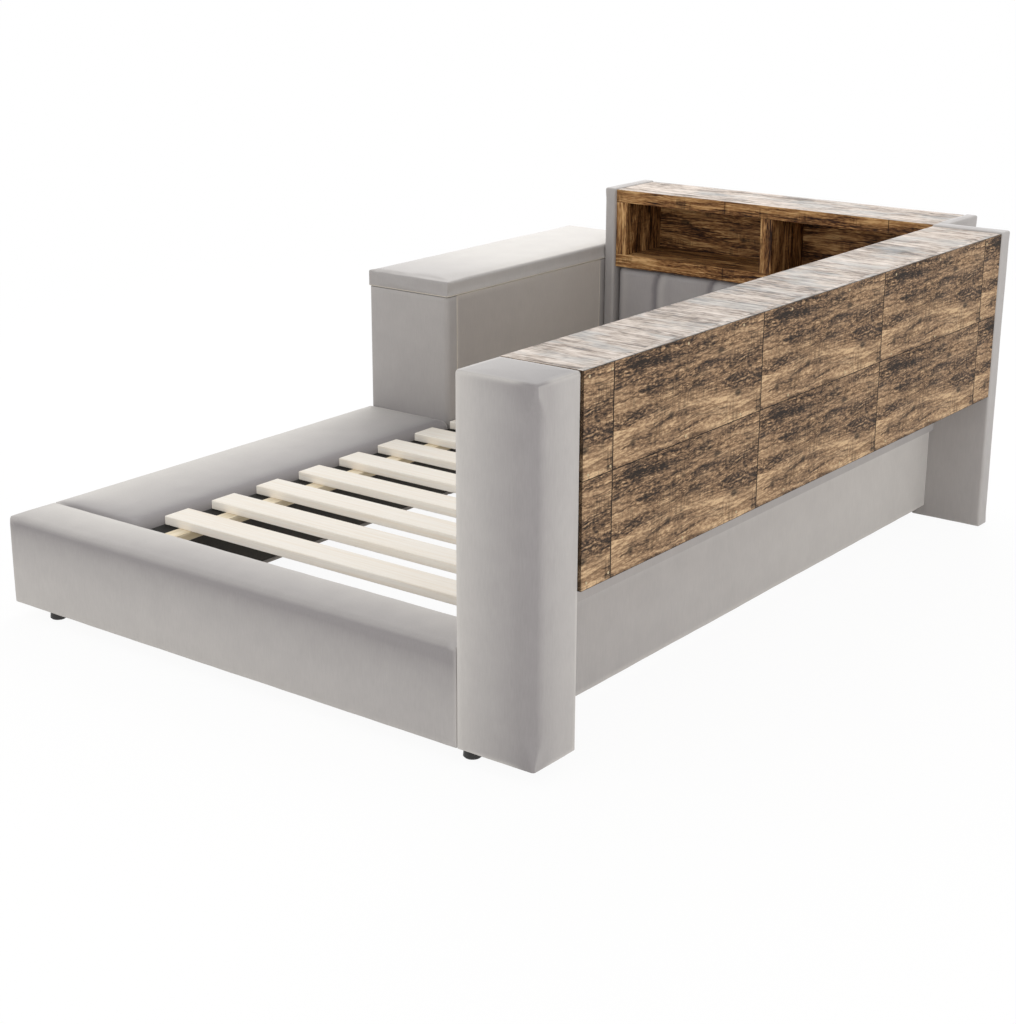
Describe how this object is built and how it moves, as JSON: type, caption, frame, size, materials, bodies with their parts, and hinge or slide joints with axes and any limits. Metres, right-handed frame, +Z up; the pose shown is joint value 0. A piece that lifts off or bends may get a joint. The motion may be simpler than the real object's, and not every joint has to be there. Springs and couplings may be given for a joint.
{
  "type": "upholstered storage bed",
  "caption": "Low padded bed frame with slats, a bookcase headboard, a bookcase side wall on a padded post, and a side trunk with a hinged padded lid.",
  "frame": {"origin": "on the floor under the middle of the bed's outline", "axes": "+X from the low side rail to the bookcase wall, +Y from the footboard to the headboard, +Z up"},
  "size_m": [1.5713, 2.281, 0.817],
  "materials": {
    "velvet": "short velvet nap, warm light grey",
    "channel_fabric": "short velvet nap, sewn in upright channels",
    "rustic_laminate": "printed rustic oak laminate, satin",
    "raw_board": "raw particle board and plywood",
    "slat_wood": "planed softwood",
    "batten_wood": "sawn softwood",
    "black_steel": "black powder coat",
    "black_lining": "black non-woven lining",
    "hinge_steel": "zinc plated",
    "black_plastic": "moulded, matt",
    "cap_plastic": "moulded, pale"
  },
  "bodies": {
    "frame": {"end_panel_cores": "raw_board", "floor_glides": "black_plastic", "footboard_core": "raw_board", "footboard_cover": "velvet", "head_rail": "raw_board", "headboard_back_panel": "rustic_laminate", "headboard_bottom_board": "rustic_laminate", "headboard_case_ends": "rustic_laminate", "headboard_cushion": "channel_fabric", "headboard_cushion_board": "raw_board", "headboard_dividers": "rustic_laminate", "headboard_left_end_cover": "velvet", "headboard_right_end_cover": "velvet", "headboard_shelf_board": "rustic_laminate", "headboard_top_board": "rustic_laminate", "hinge_fixed_leaf": "hinge_steel", "hinge_pin": "hinge_steel", "left_ledger": "black_steel", "left_rail_core": "raw_board", "left_rail_cover": "velvet", "left_rail_lining": "black_lining", "post_core": "raw_board", "post_cover": "velvet", "right_ledger": "black_steel", "right_rail_core": "raw_board", "right_rail_cover": "velvet", "slat_01": "slat_wood", "slat_02": "slat_wood", "slat_03": "slat_wood", "slat_04": "slat_wood", "slat_05": "slat_wood", "slat_06": "slat_wood", "slat_07": "slat_wood", "slat_08": "slat_wood", "slat_09": "slat_wood", "slat_10": "slat_wood", "slat_11": "slat_wood", "slat_12": "slat_wood", "slat_battens": "batten_wood", "trunk_cover": "velvet", "trunk_end_boards": "raw_board", "trunk_floor_board": "raw_board", "trunk_side_boards": "raw_board", "trunk_side_panel": "velvet", "wall_back_panels_lower": "rustic_laminate", "wall_back_panels_upper": "rustic_laminate", "wall_bottom_board": "rustic_laminate", "wall_case_ends": "rustic_laminate", "wall_cushion": "channel_fabric", "wall_cushion_board": "raw_board", "wall_dividers": "rustic_laminate", "wall_end_cover": "velvet", "wall_ribs": "raw_board", "wall_screw_caps": "cap_plastic", "wall_shelf_board": "rustic_laminate", "wall_top_board": "rustic_laminate"},
    "lid": {"lid_board": "raw_board", "lid_cushion": "velvet", "hinge_moving_leaf": "hinge_steel"}
  },
  "joints": [
    {"name": "trunk_lid", "type": "hinge", "parent": "frame", "child": "lid", "pos_m": [-0.78165, 0.653, 0.602], "axis": [0, -1, 0], "range_deg": [0, 95]}
  ]
}
